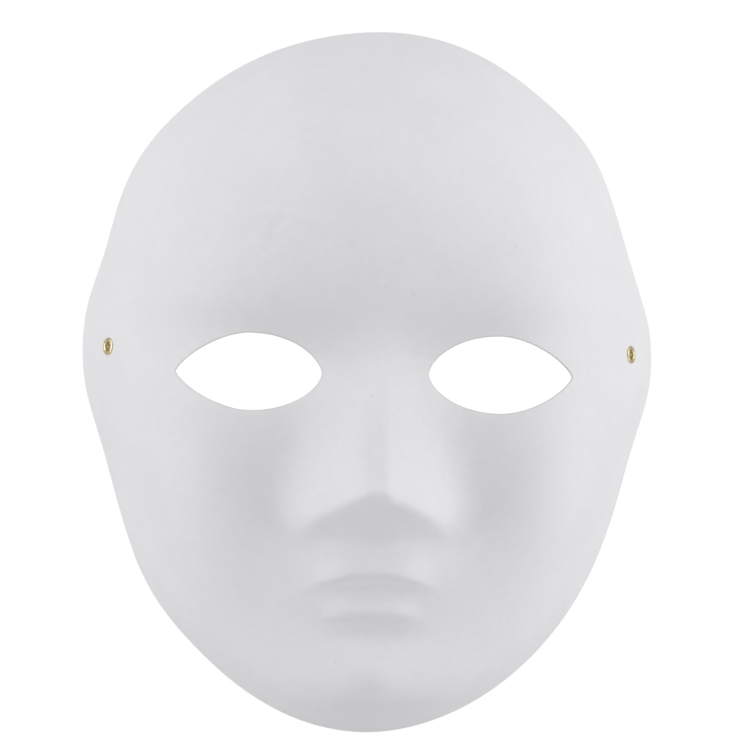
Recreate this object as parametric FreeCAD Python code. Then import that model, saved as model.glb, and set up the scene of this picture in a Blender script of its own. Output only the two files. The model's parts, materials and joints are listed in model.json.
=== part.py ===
import FreeCAD, Part
import math
import os

# Blank full-face mask of moulded paper pulp with a brass eyelet at each side.
# Millimetres. +Z is up, the mask looks along -Y and the wearer's left is +X.
# The rim lies flat in the plane y = 0. The origin is the middle of that plane
# on the strap line, the level of the two eyelets.

# Outline of the rim, seen from the front: two half super-ellipses, an ear flare and swells.
HALF_WIDTH = 93.4
CROWN_HEIGHT = 111.5
CHIN_DROP = 130.9
CROWN_POWER = 2.01
CHIN_POWER = 1.96
POWER_BLEND = 20.0
EAR_FLARE = 4.5
EAR_FLARE_Z = -2.7
EAR_FLARE_REACH = 25.4
EAR_FLARE_POWER = 2.45

# Swells of the moulded rim: direction from +X and reach, both in degrees, and rise.
RIM_SWELLS = (
    (43.0, 12.0, 2.2),
    (97.0, 18.0, -2.3),
    (142.0, 16.5, 2.8),
    (169.0, 7.5, 0.7),
    (-132.0, 12.0, 1.8),
    (-53.0, 23.5, 2.2),
)

# The shell.
WALL = 1.4
DOME_DEPTH = 52.0

# How the dome falls to the rim in each direction: the share that falls as a
# plain parabola, and the power of the steeper rest.
TEMPLE_FALL = (0.26, 3.8)
CHEEK_FALL = (0.36, 6.1)
CROWN_FALL = (0.22, 4.7)
CHIN_FALL = (0.15, 11.8)
CHEEK_BLEND = (30.0, 80.0)
RELIEF_FADE_POWER = 8

# Forehead and the hollow across the eyes.
FOREHEAD_RISE = 7.5
FOREHEAD_Z = 51.0
FOREHEAD_REACH_Z = 37.0
FOREHEAD_REACH_X = 74.0
SOCKET_SINK = 7.3
SOCKET_Z = -2.0
SOCKET_REACH_UP = 18.0
SOCKET_REACH_DOWN = 9.0
SOCKET_HALF_WIDTH = 51.0

# Cheekbones.
CHEEK_RISE = 11.0
CHEEK_X = 58.0
CHEEK_Z = -35.0
CHEEK_REACH_X = 22.5
CHEEK_REACH_Z = 40.0

# Nose: a ridge that widens downwards, cut off below by a sloping underside.
NOSE_ROOT_Z = 8.0
NOSE_TIP_Z = -47.5
NOSE_RISE = 27.0
NOSE_HALF_WIDTH = 24.2
NOSE_WIDENING = 0.46
NOSE_START_SOFTNESS = 0.04
NOSE_RIDGE_ROUND = 0.15
NOSE_RIDGE_POWER = 4
NOSE_ROOT_ROUND = 0.28
NOSE_ROOT_ROUND_DECAY = 3.8
NOSE_UNDER_SLOPE = 1.6
NOSE_UNDER_ARCH = 2.2
NOSE_EDGE_ROUND = 1.7
NOSE_CORNER_ROUND = 5.5
# Shares of the half width where the rounder corner begins and over which it comes in.
NOSE_CORNER_SPAN = (0.65, 0.60)
NOSE_UNDER_FOOT = 1.8
NOSE_SIDE_FOOT = 4.4
NOSE_FOOT_BLEND = 14.0

# Muzzle, lips and chin.
MUZZLE_RISE = 6.5
MUZZLE_Z = -72.0
MUZZLE_REACH_Z = 11.5
MUZZLE_HALF_WIDTH = 24.0
LIP_LINE_Z = -73.4
LIP_SAG = 3.3
LIP_HALF_WIDTH = 16.5
LIP_STEP = 5.6
LIP_STEP_HEIGHT = 5.8
LIP_FADE = 10.0
LIP_CORNER_SHARE = 0.35
LOWER_LIP_RISE = 4.2
LOWER_LIP_LINE_Z = -86.3
LOWER_LIP_STEP_HEIGHT = 4.6
LOWER_LIP_FADE = 3.6
LOWER_LIP_HALF_WIDTH = 13.5
LOWER_LIP_SAG = 0.6
SULCUS_SINK = 3.4
SULCUS_Z = -94.6
SULCUS_REACH = 3.4
SULCUS_HALF_WIDTH = 11.5
CHIN_RISE = 16.5
CHIN_Z = -115.5
CHIN_REACH_UP = 15.5
CHIN_REACH_DOWN = 7.0
CHIN_RIDGE_ROUND = 10.0
CHIN_FLANK = 17.0

# Eye holes: width and height of each lens, and where its middle lies.
EYE_CENTRE_X = 41.9
EYE_CENTRE_Z = -8.0
EYE_HALF_WIDTH = 24.2
EYE_RISE = 13.2
EYE_DROP = 12.5
EYE_INNER_SHAPE = (2.1, 0.62)
EYE_OUTER_SHAPE = (1.7, 0.76)
EYE_OUTLINE_POINTS = 40

# Eyelets: a brass barrel with a flange in front, rolled over a washer behind.
EYELET_INSET = 8.85
EYELET_BORE_R = 1.5
EYELET_METAL = 0.3
FLANGE_R = 3.0
FLANGE_HEIGHT = 0.5
ROLL_WIDTH = 0.8
ROLL_HEIGHT = 0.6
BARREL_CLEARANCE = 0.1
SEAT_CLEARANCE = 0.15
SEAT_DEPTH = 0.12
WASHER_R = 3.2
WASHER_THICKNESS = 0.3

# Spacing of the points that the two faces of the shell are drawn through, and
# how far those faces run on past the rim before they are trimmed.
SURFACE_STEP = 3.0
SURFACE_MARGIN = 1.06
TRIM_DEPTH = 600.0
SLOPE_STEP = 0.05
FACE_SEAMS_Z = (-45.0, 30.0)

BARREL_R = EYELET_BORE_R + EYELET_METAL
HOLE_R = BARREL_R + BARREL_CLEARANCE


def smooth_step(t):
    """0 below t = 0, 1 above t = 1, with level ends."""
    t = min(max(t, 0.0), 1.0)
    return t ** 3 * (t * (6.0 * t - 15.0) + 10.0)


def bell(t):
    return math.exp(-t * t)


def soft_plus(value, softness):
    """The larger of value and 0, with the corner rounded."""
    t = value / softness
    return softness * (max(t, 0.0) + math.log1p(math.exp(-abs(t))))


def soft_min(a, b, softness):
    return b - soft_plus(b - a, softness)


def mix(a, b, share):
    return a + (b - a) * share


def rim_half_width():
    """Half the width of the rim on the strap line."""
    return HALF_WIDTH + ear_flare(0.0)


def ear_flare(z):
    return EAR_FLARE * math.exp(-abs((z - EAR_FLARE_Z) / EAR_FLARE_REACH) ** EAR_FLARE_POWER)


def rim_swell(x, z, distance):
    """How far the rim bulges out in the direction of x, z."""
    swell = 0.0
    for direction, reach, rise in RIM_SWELLS:
        away_x = x / distance - math.cos(math.radians(direction))
        away_z = z / distance - math.sin(math.radians(direction))
        swell += rise * bell(math.hypot(away_x, away_z) / math.radians(reach))
    return swell


def rim_measure(x, z):
    """Radius as a share of the rim's, and how far up or down the direction points (0 to 1)."""
    power = mix(CHIN_POWER, CROWN_POWER, smooth_step((z + POWER_BLEND) / (2.0 * POWER_BLEND)))
    height = CROWN_HEIGHT if z > 0 else CHIN_DROP
    sideways = abs(x / (HALF_WIDTH + ear_flare(z))) ** power
    upright = abs(z / height) ** power
    total = max(sideways + upright, 1e-12)
    radius = total ** (1.0 / power)
    distance = max(math.hypot(x, z), 1e-6)
    return radius - rim_swell(x, z, distance) * radius ** 4 / distance, upright / total


def dome(x, z):
    """Height of the plain dome ahead of the rim plane; straight past the rim."""
    radius, upright = rim_measure(x, z)
    low = smooth_step((CHEEK_BLEND[0] - z) / CHEEK_BLEND[1])
    end = CROWN_FALL if z > 0 else CHIN_FALL
    share, power = (mix(mix(TEMPLE_FALL[i], CHEEK_FALL[i], low), end[i], upright ** 2) for i in (0, 1))
    if radius > 1.0:
        return -DOME_DEPTH * (2.0 * share + power * (1.0 - share)) * (radius - 1.0)
    return DOME_DEPTH * (1.0 - share * radius ** 2 - (1.0 - share) * radius ** power)


def brow(x, z):
    forehead = FOREHEAD_RISE * bell((z - FOREHEAD_Z) / FOREHEAD_REACH_Z) * bell(x / FOREHEAD_REACH_X)
    reach = SOCKET_REACH_UP if z > SOCKET_Z else SOCKET_REACH_DOWN
    socket = SOCKET_SINK * bell((z - SOCKET_Z) / reach) / (1.0 + (x / SOCKET_HALF_WIDTH) ** 6)
    return forehead - socket


def cheeks(x, z):
    return CHEEK_RISE * bell((abs(x) - CHEEK_X) / CHEEK_REACH_X) * bell((z - CHEEK_Z) / CHEEK_REACH_Z)


def nose(x, z):
    down = soft_plus((NOSE_ROOT_Z - z) / (NOSE_ROOT_Z - NOSE_TIP_Z), NOSE_START_SOFTNESS)
    rounding = NOSE_RIDGE_ROUND + NOSE_ROOT_ROUND * math.exp(-NOSE_ROOT_ROUND_DECAY * down)
    across = x / (NOSE_HALF_WIDTH * down ** NOSE_WIDENING)
    rounded = abs(across) ** NOSE_RIDGE_POWER + rounding ** NOSE_RIDGE_POWER
    rounded = rounded ** (1.0 / NOSE_RIDGE_POWER)
    ridge = NOSE_RISE * down * (1.0 - rounded + rounding)
    base_z = NOSE_TIP_Z - NOSE_RISE / NOSE_UNDER_SLOPE + NOSE_UNDER_ARCH * (x / NOSE_HALF_WIDTH) ** 2
    underside = NOSE_UNDER_SLOPE * (z - base_z)
    foot_round = mix(NOSE_UNDER_FOOT, NOSE_SIDE_FOOT, smooth_step((z - base_z) / NOSE_FOOT_BLEND))
    corner = smooth_step((abs(x) / NOSE_HALF_WIDTH - NOSE_CORNER_SPAN[0]) / NOSE_CORNER_SPAN[1])
    edge_round = mix(NOSE_EDGE_ROUND, NOSE_CORNER_ROUND, corner)
    return soft_plus(soft_min(ridge, underside, edge_round), foot_round)


def step_up(z, line, height):
    """Rises from 0 to 1 over a height that ends on a line."""
    return smooth_step((z - line + height) / height)


def mouth(x, z):
    muzzle = MUZZLE_RISE * bell((z - MUZZLE_Z) / MUZZLE_REACH_Z)
    muzzle *= math.exp(-abs(x / MUZZLE_HALF_WIDTH) ** 3)
    window = math.exp(-(x / LIP_HALF_WIDTH) ** 4)
    line = LIP_LINE_Z - LIP_SAG * (x / LIP_HALF_WIDTH) ** 2
    height = LIP_STEP_HEIGHT * mix(LIP_CORNER_SHARE, 1.0, window)
    upper = LIP_STEP * window * step_up(z, line, height) * bell((z - line) / LIP_FADE)
    lower_line = LOWER_LIP_LINE_Z - LOWER_LIP_SAG * (x / LOWER_LIP_HALF_WIDTH) ** 2
    lower = LOWER_LIP_RISE * math.exp(-(x / LOWER_LIP_HALF_WIDTH) ** 4)
    lower *= step_up(z, lower_line, LOWER_LIP_STEP_HEIGHT)
    lower *= bell(max(z - lower_line, 0.0) / LOWER_LIP_FADE)
    sulcus = SULCUS_SINK * bell((z - SULCUS_Z) / SULCUS_REACH) * bell(x / SULCUS_HALF_WIDTH)
    reach = CHIN_REACH_UP if z > CHIN_Z else CHIN_REACH_DOWN
    flank = (CHIN_RIDGE_ROUND - math.hypot(x, CHIN_RIDGE_ROUND)) / CHIN_FLANK
    chin = CHIN_RISE * bell((z - CHIN_Z) / reach) * math.exp(flank)
    return muzzle + upper + lower - sulcus + chin


def depth(x, z):
    """How far the front of the shell stands ahead of the rim plane at x, z."""
    radius = rim_measure(x, z)[0]
    fade = 1.0 - min(radius, 1.0) ** RELIEF_FADE_POWER
    return dome(x, z) + fade * (brow(x, z) + cheeks(x, z) + nose(x, z) + mouth(x, z))


def outward(x, z):
    """Unit normal of the front at x, z, pointing away from the wearer."""
    step = SLOPE_STEP
    slope_x = (depth(x + step, z) - depth(x - step, z)) / (2.0 * step)
    slope_z = (depth(x, z + step) - depth(x, z - step)) / (2.0 * step)
    return FreeCAD.Vector(-slope_x, -1.0, -slope_z).normalize()


def face_point(x, z, sink):
    """A point under the front face, sink measured along its normal."""
    return FreeCAD.Vector(x, -depth(x, z), z) - outward(x, z) * sink


def spaced(low, high):
    """Evenly spaced values from low to high, about SURFACE_STEP apart."""
    count = math.ceil((high - low) / SURFACE_STEP)
    return [low + (high - low) * i / count for i in range(count + 1)]


def solid_behind(sink):
    """Everything behind the face that lies sink under the front."""
    side = rim_half_width() * SURFACE_MARGIN
    columns = spaced(-side, side)
    rows = spaced(-CHIN_DROP * SURFACE_MARGIN, CROWN_HEIGHT * SURFACE_MARGIN)
    surface = Part.BSplineSurface()
    surface.interpolate([[face_point(x, z, sink) for z in rows] for x in columns])
    return surface.toShape().extrude(FreeCAD.Vector(0, TRIM_DEPTH, 0))


def eye_hole(side):
    """Lens-shaped cutter through the shell; side is +1 for the wearer's left."""
    points = []
    for i in range(EYE_OUTLINE_POINTS):
        angle = 2.0 * math.pi * i / EYE_OUTLINE_POINTS
        across = math.cos(angle)
        bend, rounding = EYE_OUTER_SHAPE if across > 0 else EYE_INNER_SHAPE
        reach = EYE_RISE if angle < math.pi else -EYE_DROP
        up = reach * max(1.0 - abs(across) ** bend, 0.0) ** rounding
        x = side * (EYE_CENTRE_X + EYE_HALF_WIDTH * across)
        points.append(FreeCAD.Vector(x, 0, EYE_CENTRE_Z + up))
    curve = Part.BSplineCurve()
    curve.interpolate(Points=points, PeriodicFlag=True)
    lens = Part.Face(Part.Wire([curve.toShape()]))
    return lens.extrude(FreeCAD.Vector(0, -TRIM_DEPTH, 0))


def eyelet_axis(side):
    """Where an eyelet's axis meets the front face, and the outward direction there."""
    x = side * (rim_half_width() - EYELET_INSET)
    return FreeCAD.Vector(x, -depth(x, 0.0), 0.0), outward(x, 0.0)


def on_axis(side, start, radius, length):
    """A cylinder on an eyelet's axis, from start along the outward direction."""
    foot, direction = eyelet_axis(side)
    return Part.makeCylinder(radius, length, foot + direction * start, direction)


def turned(side, edges):
    """Turn a closed profile, drawn as radius and distance outwards, about an eyelet's axis."""
    foot, direction = eyelet_axis(side)
    profile = Part.Face(Part.Wire(edges))
    body = profile.revolve(FreeCAD.Vector(0, 0, 0), FreeCAD.Vector(0, 0, 1), 360)
    body.Placement = FreeCAD.Placement(foot, FreeCAD.Rotation(FreeCAD.Vector(0, 0, 1), direction))
    return body


def profile_line(start, end):
    ends = [FreeCAD.Vector(radius, 0, height) for radius, height in (start, end)]
    return Part.LineSegment(*ends).toShape()


def profile_arc(start, middle, end):
    points = [FreeCAD.Vector(radius, 0, height) for radius, height in (start, middle, end)]
    return Part.Arc(*points).toShape()


def front_seat():
    """Height of the flange's seat on an eyelet's axis."""
    return -SEAT_DEPTH


def back_seat():
    """Height of the washer's seat on an eyelet's axis."""
    return SEAT_DEPTH - WALL


def section_boxes():
    """Boxes that meet on the middle plane and on FACE_SEAMS_Z and end at the rim plane."""
    width = 2.0 * rim_half_width()
    levels = (-2.0 * CHIN_DROP,) + FACE_SEAMS_Z + (2.0 * CROWN_HEIGHT,)
    for low, high in zip(levels, levels[1:]):
        for edge in (-width, 0.0):
            yield Part.makeBox(width, TRIM_DEPTH, high - low, FreeCAD.Vector(edge, -TRIM_DEPTH, low))


def make_shell():
    """The pulp shell: one solid whose faces are divided in six, to keep their edges short."""
    front = solid_behind(0.0)
    back = solid_behind(WALL)
    sections = [front.common(box).cut(back) for box in section_boxes()]
    shell = sections[0].fuse(sections[1:])
    for side in (-1, 1):
        shell = shell.cut(eye_hole(side))
        shell = shell.cut(on_axis(side, -2 * WALL, HOLE_R, 4 * WALL))
        shell = shell.cut(on_axis(side, front_seat(), FLANGE_R + SEAT_CLEARANCE, WALL))
        shell = shell.cut(on_axis(side, back_seat() - WALL, WASHER_R + SEAT_CLEARANCE, WALL))
    return shell


def make_washer(side):
    """Flat ring behind the shell."""
    ring = on_axis(side, back_seat() - WASHER_THICKNESS, WASHER_R, WASHER_THICKNESS)
    return ring.cut(on_axis(side, back_seat() - 2 * WASHER_THICKNESS, HOLE_R, 4 * WASHER_THICKNESS))


def make_eyelet(side):
    """Barrel, domed front flange and the end rolled over behind the washer."""
    front = front_seat()
    back = back_seat() - WASHER_THICKNESS
    crown = (mix(EYELET_BORE_R, FLANGE_R, 0.5), front + FLANGE_HEIGHT)
    roll_r = BARREL_R + ROLL_WIDTH
    rolled = (mix(EYELET_BORE_R, roll_r, 0.5), back - ROLL_HEIGHT)
    edges = [
        profile_line((EYELET_BORE_R, back), (EYELET_BORE_R, front)),
        profile_arc((EYELET_BORE_R, front), crown, (FLANGE_R, front)),
        profile_line((FLANGE_R, front), (BARREL_R, front)),
        profile_line((BARREL_R, front), (BARREL_R, back)),
        profile_line((BARREL_R, back), (roll_r, back)),
        profile_arc((roll_r, back), rolled, (EYELET_BORE_R, back)),
    ]
    return turned(side, edges)


def export(name, shape):
    if len(shape.Solids) != 1 or not shape.isValid():
        raise ValueError(name + " is not one valid solid")
    shape.Solids[0].exportStep("parts/" + name + ".step")


os.makedirs("parts", exist_ok=True)
export("mask_shell", make_shell())
for side, name in ((1, "left"), (-1, "right")):
    export(name + "_eyelet", make_eyelet(side))
    export(name + "_eyelet_washer", make_washer(side))
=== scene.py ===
import json
import math

import bmesh
import bpy
import numpy as np
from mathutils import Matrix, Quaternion, Vector, noise
from mathutils.geometry import delaunay_2d_cdt
from mathutils.kdtree import KDTree


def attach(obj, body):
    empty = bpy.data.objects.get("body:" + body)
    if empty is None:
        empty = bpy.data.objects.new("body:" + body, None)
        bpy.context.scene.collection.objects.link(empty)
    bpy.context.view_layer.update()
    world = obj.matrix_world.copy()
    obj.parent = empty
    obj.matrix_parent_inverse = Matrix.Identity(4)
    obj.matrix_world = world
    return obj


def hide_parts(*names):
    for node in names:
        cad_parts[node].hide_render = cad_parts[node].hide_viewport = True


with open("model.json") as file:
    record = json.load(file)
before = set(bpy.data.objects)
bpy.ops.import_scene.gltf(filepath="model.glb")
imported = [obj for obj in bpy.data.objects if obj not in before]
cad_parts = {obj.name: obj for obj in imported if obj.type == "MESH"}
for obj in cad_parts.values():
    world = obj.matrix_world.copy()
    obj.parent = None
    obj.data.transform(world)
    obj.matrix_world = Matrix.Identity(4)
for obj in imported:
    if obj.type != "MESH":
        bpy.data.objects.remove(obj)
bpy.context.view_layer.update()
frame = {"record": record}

# Blank full-face mask of moulded paper pulp, in metres, in the CAD model's frame:
# +Z up, the mask looks along -Y, the rim lies in y = 0, +X is the wearer's left.

# ---------------------------------------------------------------- the relief's sizes
# They repeat the CAD model's, so that the visible shell lies on the CAD shell, apart
# from the upper lip's two treads.
HALF_WIDTH = 0.0934
CROWN_HEIGHT = 0.1115
CHIN_DROP = 0.1309
CROWN_POWER = 2.01
CHIN_POWER = 1.96
POWER_BLEND = 0.020
EAR_FLARE = 0.0045
EAR_FLARE_Z = -0.0027
EAR_FLARE_REACH = 0.0254
EAR_FLARE_POWER = 2.45
# Direction from +X and reach in degrees, and rise.
RIM_SWELLS = (
    (43.0, 12.0, 0.0022),
    (97.0, 18.0, -0.0023),
    (142.0, 16.5, 0.0028),
    (169.0, 7.5, 0.0007),
    (-132.0, 12.0, 0.0018),
    (-53.0, 23.5, 0.0022),
)

WALL = 0.0014
DOME_DEPTH = 0.052
TEMPLE_FALL = (0.26, 3.8)
CHEEK_FALL = (0.36, 6.1)
CROWN_FALL = (0.22, 4.7)
CHIN_FALL = (0.15, 11.8)
CHEEK_BLEND = (0.030, 0.080)
RELIEF_FADE_POWER = 8

FOREHEAD_RISE = 0.0075
FOREHEAD_Z = 0.051
FOREHEAD_REACH_Z = 0.037
FOREHEAD_REACH_X = 0.074
SOCKET_SINK = 0.0073
SOCKET_Z = -0.002
SOCKET_REACH_UP = 0.018
SOCKET_REACH_DOWN = 0.009
SOCKET_HALF_WIDTH = 0.051

CHEEK_RISE = 0.0110
CHEEK_X = 0.0580
CHEEK_Z = -0.035
CHEEK_REACH_X = 0.0225
CHEEK_REACH_Z = 0.0400

NOSE_ROOT_Z = 0.0080
NOSE_TIP_Z = -0.0475
NOSE_RISE = 0.0270
NOSE_HALF_WIDTH = 0.0242
NOSE_WIDENING = 0.46
NOSE_START_SOFTNESS = 0.04
NOSE_RIDGE_ROUND = 0.15
NOSE_RIDGE_POWER = 4
NOSE_ROOT_ROUND = 0.28
NOSE_ROOT_ROUND_DECAY = 3.8
NOSE_UNDER_SLOPE = 1.6
NOSE_UNDER_ARCH = 0.0022
NOSE_EDGE_ROUND = 0.0017
NOSE_CORNER_ROUND = 0.0055
# Shares of the half width where the rounder corner begins and over which it comes in.
NOSE_CORNER_SPAN = (0.65, 0.60)
NOSE_UNDER_FOOT = 0.0018
NOSE_SIDE_FOOT = 0.0044
NOSE_FOOT_BLEND = 0.0140

MUZZLE_RISE = 0.0065
MUZZLE_Z = -0.0720
MUZZLE_REACH_Z = 0.0115
MUZZLE_HALF_WIDTH = 0.024
LIP_LINE_Z = -0.0734
LIP_SAG = 0.0033
LIP_HALF_WIDTH = 0.0165
LIP_STEP = 0.0056
LIP_STEP_HEIGHT = 0.0058
LIP_FADE = 0.010
LIP_CORNER_SHARE = 0.35
# Where the step's lower tread ends and its upper tread begins, and the upper's share of the rise.
LIP_TREADS = (0.42, 0.55)
LIP_UPPER_TREAD = 0.62
LOWER_LIP_RISE = 0.0042
LOWER_LIP_LINE_Z = -0.0863
LOWER_LIP_STEP_HEIGHT = 0.0046
LOWER_LIP_FADE = 0.0036
LOWER_LIP_HALF_WIDTH = 0.0135
LOWER_LIP_SAG = 0.0006
SULCUS_SINK = 0.0034
SULCUS_Z = -0.0946
SULCUS_REACH = 0.0034
SULCUS_HALF_WIDTH = 0.0115
CHIN_RISE = 0.0165
CHIN_Z = -0.1155
CHIN_REACH_UP = 0.0155
CHIN_REACH_DOWN = 0.007
CHIN_RIDGE_ROUND = 0.0100
CHIN_FLANK = 0.0170

EYE_CENTRE_X = 0.0419
EYE_CENTRE_Z = -0.0080
EYE_HALF_WIDTH = 0.0242
EYE_RISE = 0.0132
EYE_DROP = 0.0125
EYE_INNER_SHAPE = (2.1, 0.62)
EYE_OUTER_SHAPE = (1.7, 0.76)

FLANGE_R = 0.0030
FLANGE_HEIGHT = 0.0005
BARREL_R = 0.0018
HOLE_R = 0.0019
ROLL_WIDTH = 0.0008
ROLL_HEIGHT = 0.0006
SEAT_DEPTH = 0.00012
WASHER_R = 0.0032
WASHER_THICKNESS = 0.0003

# ---------------------------------------------------------------- the mesh's sizes
FRONT_SPACING = 0.00105
BACK_SPACING = 0.0015
RIM_SPACING = 0.0012
RIM_BAND = 0.0024
RIM_STRETCH = 0.22
RIM_STRETCH_POWER = 8
EDGE_ROUND = 0.0004
EYE_EDGE_ROUND = 0.0003
EYE_COLLAR = (0.0016, 0.0010, 0.0006)
SEAT_RINGS = (0.0060, 0.0052, 0.0046, 0.0041, 0.0037, 0.0034, 0.0031, 0.0026, HOLE_R)
SEAT_BLEND = (0.0033, 0.0042)
SLOPE_STEP = 0.00005
SEAT_POINTS = 48
TURN_STEPS = 96
EYE_OUTLINE_STEPS = 1440
RIM_OUTLINE_STEPS = 4000
# Halvings of a searched interval, and the search along a ray in from the rim.
HALVINGS = 40
RAY_INNER_SHARE = 0.6
RAY_STEPS = 400
# How near a lattice point may come to an outline, as a share of the spacing.
BORDER_CLEAR = 0.6
# Where the flat rim's rings lie across the wall, and how far its corners are drawn out.
RIM_EDGE_SHARES = (0.22, 0.5, 0.78)
CORNER_PULL = 0.45
EYE_CORNER_SHARE = 0.3
EYELET_WOBBLE = 0.006
FRONT, EDGE, BACK = 0, 1, 2

# Height and wavelength of the pulp's unevenness, and the seed of each noise.
LUMPS = ((0.00007, 0.022), (0.00004, 0.0075), (0.000015, 0.0028))
BACK_LUMPS = ((0.00005, 0.0024), (0.00006, 0.0045))
EDGE_LUMPS = ((0.00010, 0.006), (0.00005, 0.0018))
LUMPS_SEED = 3.7
BACK_LUMPS_SEED = 11.3
SCUFF_SEED = 6.2
RIM_EDGE_SEED = 5.1
EYE_EDGE_SEED = 9.4
EDGE_AXIS_SEEDS = (0.0, 20.0, 40.0)
EDGE_AXIS_SHARES = (0.4, 1.0, 0.4)
# A scuffed patch on the forehead: its middle in x, z, its reach, and its pits.
SCUFF_X = -0.0355
SCUFF_Z = 0.0375
SCUFF_REACH = 0.0085
SCUFF_PITS = ((0.00070, 0.0034),)
# A small raised fold of pulp under the nose tip, on the wearer's left.
FOLD_X = 0.0046
FOLD_Z = -0.0497
FOLD_RISE = 0.0009
FOLD_REACH_X = 0.0022
FOLD_REACH_Z = 0.0009


# ---------------------------------------------------------------- the relief
def smooth_step(t):
    t = np.clip(t, 0.0, 1.0)
    return t ** 3 * (t * (6.0 * t - 15.0) + 10.0)


def bell(t):
    return np.exp(-t * t)


def soft_plus(value, softness):
    """The larger of value and 0, with the corner rounded."""
    return softness * np.logaddexp(0.0, value / softness)


def soft_min(a, b, softness):
    return b - soft_plus(b - a, softness)


def mix(a, b, share):
    return a + (b - a) * share


def ear_flare(z):
    return EAR_FLARE * np.exp(-np.abs((z - EAR_FLARE_Z) / EAR_FLARE_REACH) ** EAR_FLARE_POWER)


def rim_swell(x, z, distance):
    """How far the rim bulges out in the direction of x, z."""
    swell = np.zeros_like(distance)
    for direction, reach, rise in RIM_SWELLS:
        away_x = x / distance - math.cos(math.radians(direction))
        away_z = z / distance - math.sin(math.radians(direction))
        swell += rise * bell(np.hypot(away_x, away_z) / math.radians(reach))
    return swell


def rim_measure(x, z):
    """Radius as a share of the rim's, and how far up or down the direction points (0 to 1)."""
    power = mix(CHIN_POWER, CROWN_POWER, smooth_step((z + POWER_BLEND) / (2.0 * POWER_BLEND)))
    height = np.where(z > 0, CROWN_HEIGHT, CHIN_DROP)
    sideways = np.abs(x / (HALF_WIDTH + ear_flare(z))) ** power
    upright = np.abs(z / height) ** power
    total = np.maximum(sideways + upright, 1e-12)
    radius = total ** (1.0 / power)
    distance = np.maximum(np.hypot(x, z), 1e-9)
    return radius - rim_swell(x, z, distance) * radius ** 4 / distance, upright / total


def dome(x, z):
    """Height of the plain dome ahead of the rim plane; straight past the rim."""
    radius, upright = rim_measure(x, z)
    low = smooth_step((CHEEK_BLEND[0] - z) / CHEEK_BLEND[1])
    fall = []
    for i in (0, 1):
        end = np.where(z > 0, CROWN_FALL[i], CHIN_FALL[i])
        fall.append(mix(mix(TEMPLE_FALL[i], CHEEK_FALL[i], low), end, upright ** 2))
    share, power = fall
    inside = 1.0 - share * radius ** 2 - (1.0 - share) * np.clip(radius, 0.0, 1.0) ** power
    outside = -(2.0 * share + power * (1.0 - share)) * (radius - 1.0)
    return DOME_DEPTH * np.where(radius > 1.0, outside, inside)


def brow(x, z):
    forehead = FOREHEAD_RISE * bell((z - FOREHEAD_Z) / FOREHEAD_REACH_Z) * bell(x / FOREHEAD_REACH_X)
    reach = np.where(z > SOCKET_Z, SOCKET_REACH_UP, SOCKET_REACH_DOWN)
    socket = SOCKET_SINK * bell((z - SOCKET_Z) / reach) / (1.0 + (x / SOCKET_HALF_WIDTH) ** 6)
    return forehead - socket


def cheeks(x, z):
    return CHEEK_RISE * bell((np.abs(x) - CHEEK_X) / CHEEK_REACH_X) * bell((z - CHEEK_Z) / CHEEK_REACH_Z)


def nose(x, z):
    down = soft_plus((NOSE_ROOT_Z - z) / (NOSE_ROOT_Z - NOSE_TIP_Z), NOSE_START_SOFTNESS)
    down = np.maximum(down, 1e-6)
    rounding = NOSE_RIDGE_ROUND + NOSE_ROOT_ROUND * np.exp(-NOSE_ROOT_ROUND_DECAY * down)
    across = x / (NOSE_HALF_WIDTH * down ** NOSE_WIDENING)
    rounded = np.abs(across) ** NOSE_RIDGE_POWER + rounding ** NOSE_RIDGE_POWER
    rounded = rounded ** (1.0 / NOSE_RIDGE_POWER)
    ridge = NOSE_RISE * down * (1.0 - rounded + rounding)
    base_z = NOSE_TIP_Z - NOSE_RISE / NOSE_UNDER_SLOPE + NOSE_UNDER_ARCH * (x / NOSE_HALF_WIDTH) ** 2
    underside = NOSE_UNDER_SLOPE * (z - base_z)
    foot_round = mix(NOSE_UNDER_FOOT, NOSE_SIDE_FOOT, smooth_step((z - base_z) / NOSE_FOOT_BLEND))
    corner = smooth_step((np.abs(x) / NOSE_HALF_WIDTH - NOSE_CORNER_SPAN[0]) / NOSE_CORNER_SPAN[1])
    edge_round = mix(NOSE_EDGE_ROUND, NOSE_CORNER_ROUND, corner)
    return soft_plus(soft_min(ridge, underside, edge_round), foot_round)


def step_up(z, line, height):
    """Rises from 0 to 1 over a height that ends on a line."""
    return smooth_step((z - line + height) / height)


def lip_step(z, line, height):
    """The upper lip's underside: two steep treads with a flatter band between them."""
    rise = (z - line + height) / height
    lower = smooth_step(rise / LIP_TREADS[0])
    upper = smooth_step((rise - LIP_TREADS[1]) / (1.0 - LIP_TREADS[1]))
    return mix(lower, upper, LIP_UPPER_TREAD)


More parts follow.
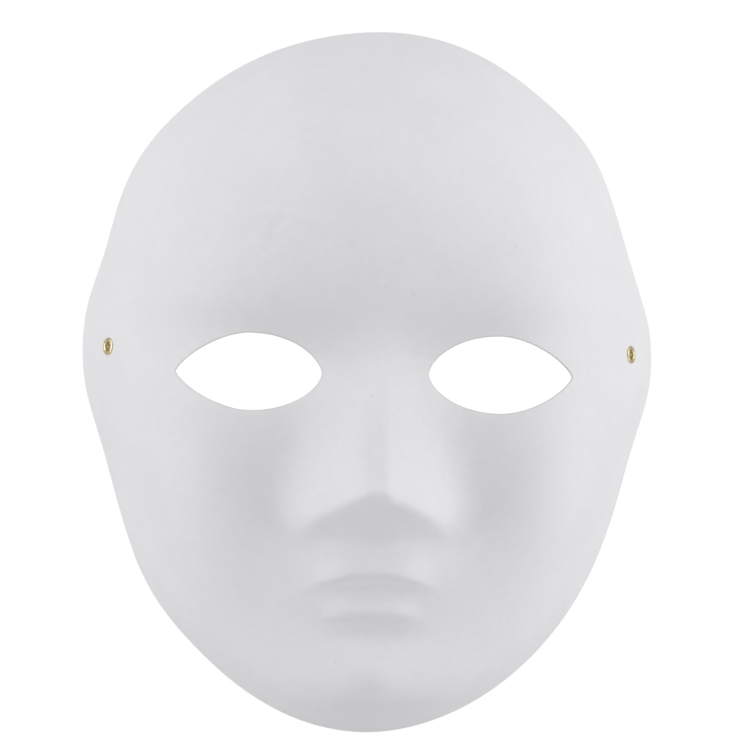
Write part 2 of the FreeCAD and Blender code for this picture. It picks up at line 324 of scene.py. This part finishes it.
def mouth(x, z):
    muzzle = MUZZLE_RISE * bell((z - MUZZLE_Z) / MUZZLE_REACH_Z)
    muzzle = muzzle * np.exp(-np.abs(x / MUZZLE_HALF_WIDTH) ** 3)
    window = np.exp(-(x / LIP_HALF_WIDTH) ** 4)
    line = LIP_LINE_Z - LIP_SAG * (x / LIP_HALF_WIDTH) ** 2
    height = LIP_STEP_HEIGHT * mix(LIP_CORNER_SHARE, 1.0, window)
    upper = LIP_STEP * window * lip_step(z, line, height) * bell((z - line) / LIP_FADE)
    lower_line = LOWER_LIP_LINE_Z - LOWER_LIP_SAG * (x / LOWER_LIP_HALF_WIDTH) ** 2
    lower = LOWER_LIP_RISE * np.exp(-(x / LOWER_LIP_HALF_WIDTH) ** 4)
    lower = lower * step_up(z, lower_line, LOWER_LIP_STEP_HEIGHT)
    lower = lower * bell(np.maximum(z - lower_line, 0.0) / LOWER_LIP_FADE)
    sulcus = SULCUS_SINK * bell((z - SULCUS_Z) / SULCUS_REACH) * bell(x / SULCUS_HALF_WIDTH)
    reach = np.where(z > CHIN_Z, CHIN_REACH_UP, CHIN_REACH_DOWN)
    flank = (CHIN_RIDGE_ROUND - np.hypot(x, CHIN_RIDGE_ROUND)) / CHIN_FLANK
    chin = CHIN_RISE * bell((z - CHIN_Z) / reach) * np.exp(flank)
    return muzzle + upper + lower - sulcus + chin


def front_depth(x, z):
    """How far the front of the shell stands ahead of the rim plane."""
    fade = 1.0 - np.clip(rim_measure(x, z)[0], 0.0, 1.0) ** RELIEF_FADE_POWER
    return dome(x, z) + fade * (brow(x, z) + cheeks(x, z) + nose(x, z) + mouth(x, z))


def slopes(x, z):
    slope_x = (front_depth(x + SLOPE_STEP, z) - front_depth(x - SLOPE_STEP, z)) / (2.0 * SLOPE_STEP)
    slope_z = (front_depth(x, z + SLOPE_STEP) - front_depth(x, z - SLOPE_STEP)) / (2.0 * SLOPE_STEP)
    return slope_x, slope_z


def back_depth(x, z):
    """The back of the shell: one wall under the front, measured square to it."""
    slope_x, slope_z = slopes(x, z)
    return front_depth(x, z) - WALL * np.sqrt(1.0 + slope_x ** 2 + slope_z ** 2)


SURFACES = {FRONT: (front_depth, -SEAT_DEPTH), BACK: (back_depth, SEAT_DEPTH - WALL)}


# ---------------------------------------------------------------- closed outlines in x, z
def resample(points, count):
    """Points spread evenly along a closed line."""
    closed = np.vstack([points, points[:1]])
    along = np.concatenate([[0.0], np.cumsum(np.linalg.norm(np.diff(closed, axis=0), axis=1))])
    places = np.linspace(0.0, along[-1], count, endpoint=False)
    return np.stack([np.interp(places, along, closed[:, i]) for i in (0, 1)], axis=1)


def length_of(points):
    return np.linalg.norm(points - np.roll(points, 1, axis=0), axis=1).sum()


def on_rays(angles, surface):
    """Where a surface meets the rim plane, along rays from the origin."""
    inner = np.full(len(angles), 0.5 * min(HALF_WIDTH, CROWN_HEIGHT))
    outer = np.full(len(angles), 1.2 * CHIN_DROP)
    for _ in range(HALVINGS):
        middle = 0.5 * (inner + outer)
        ahead = surface(middle * np.cos(angles), middle * np.sin(angles)) > 0
        inner = np.where(ahead, middle, inner)
        outer = np.where(ahead, outer, middle)
    return inner


def rim_angles():
    """Ray angles that space points evenly round the rim."""
    fine = np.linspace(0.0, 2.0 * math.pi, RIM_OUTLINE_STEPS, endpoint=False)
    radius = on_rays(fine, front_depth)
    outline = np.stack([radius * np.cos(fine), radius * np.sin(fine)], axis=1)
    even = resample(outline, round(length_of(outline) / RIM_SPACING))
    return np.unwrap(np.arctan2(even[:, 1], even[:, 0]))


def rings_from_rim(angles, surface, distances):
    """Closed rings on a surface, each a set distance in from the rim, measured on the surface."""
    edge = on_rays(angles, surface)
    shares = np.linspace(1.0, RAY_INNER_SHARE, RAY_STEPS)
    rings = np.zeros((len(distances), len(angles), 2))
    for i, angle in enumerate(angles):
        radius = edge[i] * shares
        x = radius * math.cos(angle)
        z = radius * math.sin(angle)
        path = np.hypot(np.diff(radius), np.diff(surface(x, z)))
        along = np.concatenate([[0.0], np.cumsum(path)])
        place = np.interp(distances, along, radius)
        rings[:, i, 0] = place * math.cos(angle)
        rings[:, i, 1] = place * math.sin(angle)
    return rings


def eye_outline(side, spread):
    """Outline of an eye hole, grown by spread; side is +1 for the wearer's left."""
    angle = np.linspace(0.0, 2.0 * math.pi, EYE_OUTLINE_STEPS, endpoint=False)
    across = np.cos(angle)
    outer = across > 0
    bend = np.where(outer, EYE_OUTER_SHAPE[0], EYE_INNER_SHAPE[0])
    rounding = np.where(outer, EYE_OUTER_SHAPE[1], EYE_INNER_SHAPE[1])
    reach = np.where(angle < math.pi, EYE_RISE, -EYE_DROP)
    up = reach * np.maximum(1.0 - np.abs(across) ** bend, 0.0) ** rounding
    lens = np.stack([EYE_CENTRE_X + EYE_HALF_WIDTH * across, EYE_CENTRE_Z + up], axis=1)
    lens = resample(lens, round(length_of(lens) / FRONT_SPACING))
    step = np.roll(lens, -1, axis=0) - np.roll(lens, 1, axis=0)
    away = np.stack([step[:, 1], -step[:, 0]], axis=1) / np.linalg.norm(step, axis=1)[:, None]
    return (lens + away * spread) * (side, 1.0)


# ---------------------------------------------------------------- eyelet axes, from the record
def eyelet_axis(name):
    """Foot on the shell's front face and outward direction of a cord hole in the record."""
    mount = next(m for m in frame["record"]["mounts"] if m["name"] == name)
    outward = -np.array(mount["axis"], float)
    outward = outward / np.linalg.norm(outward)
    middle = 0.5 * (-WALL - WASHER_THICKNESS)
    return np.array(mount["pos_m"], float) - outward * middle, outward


EYELETS = {side: eyelet_axis(name) for side, name in ((1, "left_cord_hole"), (-1, "right_cord_hole"))}


def axis_frame(outward):
    """Two directions square to an eyelet's axis."""
    level = np.cross((0.0, 0.0, 1.0), outward)
    level = level / np.linalg.norm(level)
    return level, np.cross(outward, level)


def circle_on_shell(side, radius, height, count):
    """x, z of a circle round an eyelet's axis, at a height on the axis."""
    foot, outward = EYELETS[side]
    level, steep = axis_frame(outward)
    angle = np.linspace(0.0, 2.0 * math.pi, count, endpoint=False)[:, None]
    circle = foot + outward * height + radius * (np.cos(angle) * level + np.sin(angle) * steep)
    return circle[:, [0, 2]]


def press_seats(points, height):
    """Flatten the face round each eyelet to the seat at height on its axis."""
    for foot, outward in EYELETS.values():
        away = points - foot
        rise = away @ outward
        distance = np.linalg.norm(away - rise[:, None] * outward, axis=1)
        share = 1.0 - smooth_step((distance - SEAT_BLEND[0]) / (SEAT_BLEND[1] - SEAT_BLEND[0]))
        share = np.where(np.abs(rise) < 4.0 * WALL, share, 0.0)
        points = points + (share * (height - rise))[:, None] * outward
    return points


# ---------------------------------------------------------------- surface unevenness
def unevenness(points, waves, seed):
    """A sum of smooth noise waves, each of a height and a wavelength."""
    total = np.zeros(len(points))
    for height, wavelength in waves:
        scaled = points / wavelength + seed
        total += height * np.array([noise.noise(Vector(p)) for p in scaled])
    return total


def front_marks(x, z, spot):
    """Pits of the forehead's scuffed patch, and the fold under the nose tip."""
    patch = bell(np.hypot(x - SCUFF_X, z - SCUFF_Z) / SCUFF_REACH)
    fold = bell((x - FOLD_X) / FOLD_REACH_X) * bell((z - FOLD_Z) / FOLD_REACH_Z)
    return patch * unevenness(spot, SCUFF_PITS, SCUFF_SEED) + FOLD_RISE * fold


def lift(flat, zone):
    """3-D points on the front or the back of the shell over points in x, z."""
    x, z = flat[:, 0], flat[:, 1]
    surface, seat = SURFACES[zone]
    spot = np.stack([x, -surface(x, z), z], axis=1)
    slope_x, slope_z = slopes(x, z)
    outward = np.stack([-slope_x, -np.ones_like(x), -slope_z], axis=1)
    outward = outward / np.linalg.norm(outward, axis=1)[:, None]
    rise = unevenness(spot, LUMPS, LUMPS_SEED)
    if zone == BACK:
        rise = rise + unevenness(spot, BACK_LUMPS, BACK_LUMPS_SEED)
    else:
        rise = rise + front_marks(x, z, spot)
    spot = spot + outward * rise[:, None]
    return press_seats(spot, seat)


# ---------------------------------------------------------------- mesh assembly
class Shell:
    """Gathers points, triangles and quads of one closed mesh."""

    def __init__(self):
        self.points = []
        self.faces = []
        self.zones = []
        self.count = 0

    def add(self, points):
        """Add points and return their numbers."""
        self.points.append(points)
        self.count += len(points)
        return np.arange(self.count - len(points), self.count)

    def strip(self, first, second, zone):
        """Quads between two closed rings of as many points."""
        following = np.roll(np.arange(len(first)), -1)
        quads = np.stack([first, first[following], second[following], second], axis=1)
        self.faces.extend(quads.tolist())
        self.zones.extend([zone] * len(quads))

    def strips(self, rings, zone):
        for first, second in zip(rings, rings[1:]):
            self.strip(first, second, zone)

    def triangles(self, corners, zone):
        self.faces.extend(corners.tolist())
        self.zones.extend([zone] * len(corners))


def inside(points, outline):
    """Which points lie inside a closed outline."""
    found = np.zeros(len(points), bool)
    for start, end in zip(outline, np.roll(outline, -1, axis=0)):
        if start[1] == end[1]:
            continue
        crosses = (start[1] > points[:, 1]) != (end[1] > points[:, 1])
        place = start[0] + (points[:, 1] - start[1]) * (end[0] - start[0]) / (end[1] - start[1])
        found ^= crosses & (points[:, 0] < place)
    return found


def hexagonal_points(spacing):
    """A triangular lattice over the whole mask."""
    row_step = spacing * math.sqrt(0.75)
    reach = 1.0 + RIM_STRETCH
    rows = np.arange(-CHIN_DROP * reach, CROWN_HEIGHT * reach, row_step)
    half_width = (HALF_WIDTH + EAR_FLARE) * reach
    columns = np.arange(-half_width, half_width, spacing)
    x = columns[None, :] + np.where(np.arange(len(rows)) % 2, 0.5 * spacing, 0.0)[:, None]
    z = np.repeat(rows[:, None], len(columns), axis=1)
    return np.stack([x.ravel(), z.ravel()], axis=1)


def spread_factor(points):
    """How far the steep sides are spread out before they are filled with triangles."""
    return 1.0 + RIM_STRETCH * rim_measure(points[:, 0], points[:, 1])[0] ** RIM_STRETCH_POWER


def spread_out(points):
    return points * spread_factor(points)[:, None]


def drawn_in(points):
    """The points that spread_out takes to the given ones."""
    low = np.zeros(len(points))
    high = np.ones(len(points))
    for _ in range(HALVINGS):
        middle = 0.5 * (low + high)
        short = middle * spread_factor(points * middle[:, None]) < 1.0
        low = np.where(short, middle, low)
        high = np.where(short, high, middle)
    return points * low[:, None]


def fill(outer, holes, spacing):
    """Triangles between an outer outline and its holes; the outlines' own points come first."""
    flat_border = np.vstack([outer] + holes)
    outer = spread_out(outer)
    holes = [spread_out(hole) for hole in holes]
    loops = [outer] + holes
    border = np.vstack(loops)
    tree = KDTree(len(border))
    for i, point in enumerate(border):
        tree.insert((point[0], point[1], 0.0), i)
    tree.balance()
    grid = hexagonal_points(spacing)
    grid = grid[inside(grid, outer)]
    for hole in holes:
        grid = grid[~inside(grid, hole)]
    clear = [tree.find((p[0], p[1], 0.0))[2] > BORDER_CLEAR * spacing for p in grid]
    points = np.vstack([border, grid[np.array(clear)]])
    edges = []
    start = 0
    for loop in loops:
        edges += [(start + i, start + (i + 1) % len(loop)) for i in range(len(loop))]
        start += len(loop)
    scaled = [Vector((p[0] / spacing, p[1] / spacing)) for p in points]
    result = delaunay_2d_cdt(scaled, edges, [], 0, 1e-6)
    original = np.array([found[0] for found in result[3]])
    corners = original[np.array(result[2])]
    middles = points[corners].mean(axis=1)
    keep = inside(middles, outer)
    for hole in holes:
        keep &= ~inside(middles, hole)
    return np.vstack([flat_border, drawn_in(points[len(border):])]), corners[keep]


def face_of_shell(shell, zone, spacing, angles):
    """The front or the back of the shell. Returns its ring at the rim and at each hole."""
    surface, seat = SURFACES[zone]
    count = round(RIM_BAND / RIM_SPACING)
    distances = EDGE_ROUND + RIM_BAND * np.arange(count + 1) / count
    bands = rings_from_rim(angles, surface, distances)
    band_rings = [shell.add(lift(ring, zone)) for ring in bands[:-1]]
    collars = []
    for side in (1, -1):
        collars.append([eye_outline(side, spread) for spread in EYE_COLLAR + (EYE_EDGE_ROUND,)])
        collars.append([circle_on_shell(side, radius, seat, SEAT_POINTS) for radius in SEAT_RINGS])
    outer = bands[-1]
    flat, corners = fill(outer, [collar[0] for collar in collars], spacing)
    numbers = shell.add(lift(flat, zone))
    shell.triangles(numbers[corners], zone)
    shell.strips(band_rings + [numbers[:len(outer)]], zone)
    hole_rings = []
    start = len(outer)
    for collar in collars:
        rings = [numbers[start:start + len(collar[0])]]
        rings += [shell.add(lift(ring, zone)) for ring in collar[1:]]
        shell.strips(rings, zone)
        hole_rings.append(rings[-1])
        start += len(collar[0])
    return band_rings[0], hole_rings


def ring_points(flat, y):
    return np.stack([flat[:, 0], y, flat[:, 1]], axis=1)


def roughened(points, seed):
    """Points of a cut edge, moved a little along Y and sideways."""
    shift = np.stack([unevenness(points, EDGE_LUMPS, seed + i) for i in EDGE_AXIS_SEEDS], axis=1)
    return points + shift * EDGE_AXIS_SHARES


def rim_edge(shell, angles, front_ring, back_ring):
    """The flat trimmed rim, with its two corners rounded."""
    direction = np.stack([np.cos(angles), np.sin(angles)], axis=1)
    outer = direction * on_rays(angles, front_depth)[:, None]
    inner = direction * on_rays(angles, back_depth)[:, None]
    front = np.vstack(shell.points)[front_ring]
    back = np.vstack(shell.points)[back_ring]
    level = np.zeros(len(angles))
    flat = [ring_points(mix(outer, inner, share), level) for share in RIM_EDGE_SHARES]
    first = mix(0.5 * (front + flat[0]), ring_points(outer, level), CORNER_PULL)
    last = mix(0.5 * (back + flat[2]), ring_points(inner, level), CORNER_PULL)
    numbers = [shell.add(roughened(ring, RIM_EDGE_SEED)) for ring in [first] + flat + [last]]
    shell.strips([front_ring] + numbers + [back_ring], EDGE)


def eye_edge(shell, side, front_ring, back_ring):
    """The punched wall of an eye hole, with its two corners rounded."""
    hole = eye_outline(side, 0.0)
    corner = EYE_CORNER_SHARE * EYE_EDGE_ROUND
    near = eye_outline(side, corner)
    points = np.vstack(shell.points)
    front = points[front_ring][:, 1]
    back = points[back_ring][:, 1]
    rings = [
        ring_points(near, front + corner),
        ring_points(hole, front + EYE_EDGE_ROUND),
        ring_points(hole, 0.5 * (front + back)),
        ring_points(hole, back - EYE_EDGE_ROUND),
        ring_points(near, back - corner),
    ]
    numbers = [shell.add(roughened(ring, EYE_EDGE_SEED)) for ring in rings]
    shell.strips([front_ring] + numbers + [back_ring], EDGE)


def make_shell(materials):
    shell = Shell()
    angles = rim_angles()
    front_rim, front_holes = face_of_shell(shell, FRONT, FRONT_SPACING, angles)
    back_rim, back_holes = face_of_shell(shell, BACK, BACK_SPACING, angles)
    rim_edge(shell, angles, front_rim, back_rim)
    for i, side in ((0, 1), (2, -1)):
        eye_edge(shell, side, front_holes[i], back_holes[i])
        shell.strip(front_holes[i + 1], back_holes[i + 1], EDGE)
    mesh = bpy.data.meshes.new("pulp_shell")
    mesh.from_pydata(np.vstack(shell.points).tolist(), [], shell.faces)
    for material in materials:
        mesh.materials.append(material)
    mesh.polygons.foreach_set("material_index", shell.zones)
    return finish_mesh(mesh, "pulp_shell")


def finish_mesh(mesh, name):
    """Point the normals outwards, shade smooth and make the object."""
    work = bmesh.new()
    work.from_mesh(mesh)
    bmesh.ops.recalc_face_normals(work, faces=work.faces)
    work.to_mesh(mesh)
    work.free()
    mesh.polygons.foreach_set("use_smooth", [True] * len(mesh.polygons))
    piece = bpy.data.objects.new(name, mesh)
    bpy.context.scene.collection.objects.link(piece)
    return piece


# ---------------------------------------------------------------- eyelets and washers
def turned(name, side, profile, wobble, material):
    """Turn a closed profile of (radius, height) pairs about an eyelet's axis."""
    foot, outward = EYELETS[side]
    level, steep = axis_frame(outward)
    points = []
    for step in range(TURN_STEPS):
        angle = 2.0 * math.pi * step / TURN_STEPS
        around = math.cos(angle) * level + math.sin(angle) * steep
        for radius, height in profile:
            place = Vector((2.0 * math.cos(angle), 2.0 * math.sin(angle), side))
            shake = 1.0 + wobble * noise.noise(place)
            points.append(foot + around * radius * shake + outward * height)
    faces = []
    size = len(profile)
    for step in range(TURN_STEPS):
        here = step * size
        there = (step + 1) % TURN_STEPS * size
        for i in range(size):
            j = (i + 1) % size
            faces.append((here + i, here + j, there + j, there + i))
    mesh = bpy.data.meshes.new(name)
    mesh.from_pydata([tuple(p) for p in points], [], faces)
    mesh.materials.append(material)
    return finish_mesh(mesh, name)


def arc(centre, radii, start, end, count):
    """Points on an elliptical arc, angles in degrees, as (radius, height) pairs."""
    places = [math.radians(mix(start, end, i / count)) for i in range(count + 1)]
    return [(centre[0] + radii[0] * math.cos(a), centre[1] + radii[1] * math.sin(a)) for a in places]


def eyelet_profile(bore):
    """Domed flange in front, straight barrel, and the end rolled over the washer behind."""
    front = -SEAT_DEPTH
    back = SEAT_DEPTH - WALL - WASHER_THICKNESS
    flange_radii = (0.5 * (FLANGE_R - bore), FLANGE_HEIGHT)
    flange = arc((0.5 * (bore + FLANGE_R), front), flange_radii, 180.0, 0.0, 16)
    roll_r = BARREL_R + ROLL_WIDTH
    roll = arc((0.5 * (bore + roll_r), back), (0.5 * (roll_r - bore), ROLL_HEIGHT), 0.0, -180.0, 14)
    barrel = [(BARREL_R, front), (BARREL_R, back)]
    return flange + barrel + roll


def washer_profile():
    top = SEAT_DEPTH - WALL
    chamfer = 0.2 * WASHER_THICKNESS
    low = top - WASHER_THICKNESS
    return [
        (HOLE_R, top), (WASHER_R - chamfer, top), (WASHER_R, top - chamfer),
        (WASHER_R, low + chamfer), (WASHER_R - chamfer, low),
        (HOLE_R + chamfer, low), (HOLE_R, low + chamfer),
    ]


# ---------------------------------------------------------------- materials
# Noise scales are cycles per metre. Fibre layers are turn in radians and scale.
CLOUD_SCALE = 45.0
MOTTLE_SCALE = 420.0
CLOUD_SHARE = 0.6
FLECK_SCALE = 260.0
FLECK_RARITY_SCALE = 170.0
FLECK_STRENGTH = 0.35
FLECK_COLOUR = (0.52, 0.50, 0.46, 1.0)
FIBRE_LAYERS = ((0.3, 260.0), (1.4, 240.0), (2.4, 280.0))
FIBRE_ASPECT = 9.0
PULP_SPECULAR = 0.25
TARNISH_SCALE = 900.0
SCRATCH_SCALE = 5200.0
SCRATCH_DEPTH = 0.000012
BRIGHT_BRASS = (0.82, 0.70, 0.44, 1.0)
DULL_BRASS = (0.50, 0.41, 0.24, 1.0)


def new_material(name):
    material = bpy.data.materials.new(name)
    material.use_nodes = True
    tree = material.node_tree
    return material, tree.nodes, tree.links, tree.nodes["Principled BSDF"]


def noise_node(nodes, links, coordinates, scale, detail, roughness):
    texture = nodes.new("ShaderNodeTexNoise")
    texture.inputs["Scale"].default_value = scale
    texture.inputs["Detail"].default_value = detail
    texture.inputs["Roughness"].default_value = roughness
    links.new(coordinates, texture.inputs["Vector"])
    return texture.outputs["Fac"]


def stretched(nodes, links, coordinates, scale, turn):
    """Coordinates stretched along one direction, for fibres."""
    mapping = nodes.new("ShaderNodeMapping")
    mapping.inputs["Scale"].default_value = scale
    mapping.inputs["Rotation"].default_value = turn
    links.new(coordinates, mapping.inputs["Vector"])
    return mapping.outputs["Vector"]


def maths(nodes, links, operation, first, second):
    node = nodes.new("ShaderNodeMath")
    node.operation = operation
    for socket, value in zip(node.inputs, (first, second)):
        if isinstance(value, (int, float)):
            socket.default_value = value
        else:
            links.new(value, socket)
    return node.outputs[0]


def remapped(nodes, links, value, low, high, to_low, to_high):
    node = nodes.new("ShaderNodeMapRange")
    node.interpolation_type = "SMOOTHSTEP"
    for name, number in (("From Min", low), ("From Max", high), ("To Min", to_low), ("To Max", to_high)):
        node.inputs[name].default_value = number
    links.new(value, node.inputs["Value"])
    return node.outputs["Result"]


def blended(nodes, links, share, first, second):
    node = nodes.new("ShaderNodeMix")
    node.data_type = "RGBA"
    links.new(share, node.inputs["Factor"])
    for name, value in (("A", first), ("B", second)):
        socket = next(s for s in node.inputs if s.name == name and s.type == "RGBA")
        if isinstance(value, tuple):
            socket.default_value = value
        else:
            links.new(value, socket)
    return next(s for s in node.outputs if s.type == "RGBA")


def bumped(nodes, links, height, distance, strength, below):
    node = nodes.new("ShaderNodeBump")
    node.inputs["Distance"].default_value = distance
    node.inputs["Strength"].default_value = strength
    links.new(height, node.inputs["Height"])
    if below is not None:
        links.new(below, node.inputs["Normal"])
    return node.outputs["Normal"]


def fibres(nodes, links, coordinates):
    """Short fibres lying in three directions."""
    layers = []
    for turn, stretch in FIBRE_LAYERS:
        scale = (FIBRE_ASPECT * stretch, stretch, stretch)
        line = stretched(nodes, links, coordinates, scale, (0.0, turn, 0.0))
        layers.append(noise_node(nodes, links, line, 1.0, 2.0, 0.5))
    pair = maths(nodes, links, "MAXIMUM", layers[0], layers[1])
    return maths(nodes, links, "MAXIMUM", pair, layers[2])


def pulp_material(name, pale, shade, fibre_depth, grain_depth, grain_scale):
    """Dry paper pulp: matte, faintly mottled, with fibres and grain in relief."""
    material, nodes, links, shader = new_material(name)
    place = nodes.new("ShaderNodeTexCoord").outputs["Object"]
    clouds = noise_node(nodes, links, place, CLOUD_SCALE, 4.0, 0.55)
    mottle = noise_node(nodes, links, place, MOTTLE_SCALE, 3.0, 0.6)
    cloud_part = maths(nodes, links, "MULTIPLY", clouds, CLOUD_SHARE)
    mottle_part = maths(nodes, links, "MULTIPLY", mottle, 1.0 - CLOUD_SHARE)
    tone = maths(nodes, links, "ADD", cloud_part, mottle_part)
    colour = blended(nodes, links, remapped(nodes, links, tone, 0.35, 0.65, 0.0, 1.0), shade, pale)
    fleck = nodes.new("ShaderNodeTexVoronoi")
    fleck.inputs["Scale"].default_value = FLECK_SCALE
    links.new(place, fleck.inputs["Vector"])
    rare = noise_node(nodes, links, place, FLECK_RARITY_SCALE, 0.0, 0.5)
    near = remapped(nodes, links, fleck.outputs["Distance"], 0.06, 0.14, 1.0, 0.0)
    chosen = remapped(nodes, links, rare, 0.72, 0.78, 0.0, FLECK_STRENGTH)
    spots = maths(nodes, links, "MULTIPLY", near, chosen)
    colour = blended(nodes, links, spots, colour, FLECK_COLOUR)
    links.new(colour, shader.inputs["Base Color"])
    grain = noise_node(nodes, links, place, grain_scale, 5.0, 0.65)
    links.new(remapped(nodes, links, grain, 0.3, 0.7, 0.84, 0.96), shader.inputs["Roughness"])
    shader.inputs["Specular IOR Level"].default_value = PULP_SPECULAR
    weave = bumped(nodes, links, fibres(nodes, links, place), fibre_depth, 1.0, None)
    links.new(bumped(nodes, links, grain, grain_depth, 1.0, weave), shader.inputs["Normal"])
    return material


def brass_material():
    """Pressed brass, dulled unevenly, with fine turning marks."""
    material, nodes, links, shader = new_material("eyelet_brass")
    place = nodes.new("ShaderNodeTexCoord").outputs["Object"]
    tarnish = noise_node(nodes, links, place, TARNISH_SCALE, 4.0, 0.6)
    share = remapped(nodes, links, tarnish, 0.42, 0.66, 0.0, 1.0)
    colour = blended(nodes, links, share, BRIGHT_BRASS, DULL_BRASS)
    links.new(colour, shader.inputs["Base Color"])
    shader.inputs["Metallic"].default_value = 1.0
    links.new(remapped(nodes, links, tarnish, 0.35, 0.7, 0.26, 0.46), shader.inputs["Roughness"])
    scratches = noise_node(nodes, links, place, SCRATCH_SCALE, 2.0, 0.5)
    links.new(bumped(nodes, links, scratches, SCRATCH_DEPTH, 0.6, None), shader.inputs["Normal"])
    return material


# ---------------------------------------------------------------- the object
PULP_FRONT = pulp_material(
    "pulp_front", (0.815, 0.815, 0.832, 1.0), (0.790, 0.790, 0.808, 1.0), 0.00005, 0.00005, 1500.0)
# The cut edge's greyer colour is partly the cut pulp's own tone and partly painted shade: the thin dark
# outline along the rim and round the eye holes.
PULP_EDGE_TONE_AND_SHADE = pulp_material(
    "pulp_cut_edge_tone_and_painted_shade", (0.74, 0.74, 0.74, 1.0), (0.64, 0.63, 0.62, 1.0), 0.00012, 0.00010, 1800.0)
PULP_BACK = pulp_material(
    "pulp_back", (0.79, 0.79, 0.80, 1.0), (0.73, 0.73, 0.735, 1.0), 0.00014, 0.00012, 900.0)
BRASS = brass_material()

shell_piece = make_shell((PULP_FRONT, PULP_EDGE_TONE_AND_SHADE, PULP_BACK))
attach(shell_piece, "root")
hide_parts("mask_shell")

for side, word in ((1, "left"), (-1, "right")):
    hole = next(m for m in frame["record"]["mounts"] if m["name"] == word + "_cord_hole")
    bore = hole["dims"]["r_mm"] / 1000.0
    kinds = (("eyelet", eyelet_profile(bore), EYELET_WOBBLE), ("eyelet_washer", washer_profile(), 0.0))
    for kind, profile, wobble in kinds:
        piece = turned(word + "_" + kind + "_piece", side, profile, wobble, BRASS)
        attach(piece, "root")
        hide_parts(word + "_" + kind)


# ---------------------------------------------------------------- camera, lights and floor
VIEW_WIDTH = 0.2578
CAMERA_DISTANCE = 1.4
CAMERA_YAW = math.radians(-3.0)
CAMERA_ROLL = math.radians(0.9)
CAMERA_TARGET = Vector((0.0025, 0.0, -0.00825))
SENSOR_WIDTH = 36.0
ROOM_LIGHT = 0.532
LIGHT_TARGET = Vector((0.0, -0.03, 0.0))
SIDE_LIGHT_SIZE = (0.8, 1.0)
TOP_LIGHT_SIZE = (1.2, 0.8)
LEFT_POWER = 4.75
RIGHT_POWER = 5.35
TOP_POWER = 2.65
FLOOR_RADIUS = 3.0
FLOOR_Z = -0.45
FLOOR_TONES = ((0.78, 0.78, 0.78, 1.0), (0.82, 0.82, 0.82, 1.0))


def make_camera():
    camera = bpy.data.cameras.new("camera")
    camera.sensor_width = SENSOR_WIDTH
    camera.lens = SENSOR_WIDTH * CAMERA_DISTANCE / VIEW_WIDTH
    holder = bpy.data.objects.new("camera", camera)
    bpy.context.scene.collection.objects.link(holder)
    away = Vector((math.sin(CAMERA_YAW), -math.cos(CAMERA_YAW), 0.0))
    holder.location = CAMERA_TARGET + CAMERA_DISTANCE * away
    aim = (CAMERA_TARGET - holder.location).to_track_quat("-Z", "Y")
    holder.rotation_mode = "QUATERNION"
    holder.rotation_quaternion = aim @ Quaternion((0.0, 0.0, 1.0), CAMERA_ROLL)
    bpy.context.scene.camera = holder


def soft_light(name, place, size, power):
    light = bpy.data.lights.new(name, "AREA")
    light.shape = "RECTANGLE"
    light.size, light.size_y = size
    light.energy = power
    holder = bpy.data.objects.new(name, light)
    bpy.context.scene.collection.objects.link(holder)
    holder.location = place
    holder.rotation_mode = "QUATERNION"
    holder.rotation_quaternion = (LIGHT_TARGET - Vector(place)).to_track_quat("-Z", "Y")


def make_world():
    """White surroundings: full white to the eye, dimmer as a light."""
    world = bpy.data.worlds.new("studio")
    bpy.context.scene.world = world
    world.use_nodes = True
    nodes = world.node_tree.nodes
    links = world.node_tree.links
    background = nodes["Background"]
    background.inputs["Color"].default_value = (1.0, 1.0, 1.0, 1.0)
    seen = nodes.new("ShaderNodeLightPath").outputs["Is Camera Ray"]
    links.new(maths(nodes, links, "MAXIMUM", seen, ROOM_LIGHT), background.inputs["Strength"])


def make_floor():
    """A pale disc well below the mask."""
    bpy.ops.mesh.primitive_circle_add(
        vertices=96, radius=FLOOR_RADIUS, fill_type="NGON", location=(0.0, 0.0, FLOOR_Z))
    floor = bpy.context.object
    floor.name = "floor"
    material, nodes, links, shader = new_material("floor_paint")
    place = nodes.new("ShaderNodeTexCoord").outputs["Object"]
    tone = noise_node(nodes, links, place, 3.0, 2.0, 0.5)
    links.new(blended(nodes, links, tone, *FLOOR_TONES), shader.inputs["Base Color"])
    shader.inputs["Roughness"].default_value = 0.9
    floor.data.materials.append(material)


make_camera()
make_world()
make_floor()
soft_light("softbox_left", (-1.05, -0.40, 0.18), SIDE_LIGHT_SIZE, LEFT_POWER)
soft_light("softbox_right", (1.05, -0.40, 0.18), SIDE_LIGHT_SIZE, RIGHT_POWER)
soft_light("softbox_top", (0.0, -0.40, 1.15), TOP_LIGHT_SIZE, TOP_POWER)
bpy.context.scene.view_settings.view_transform = "Standard"
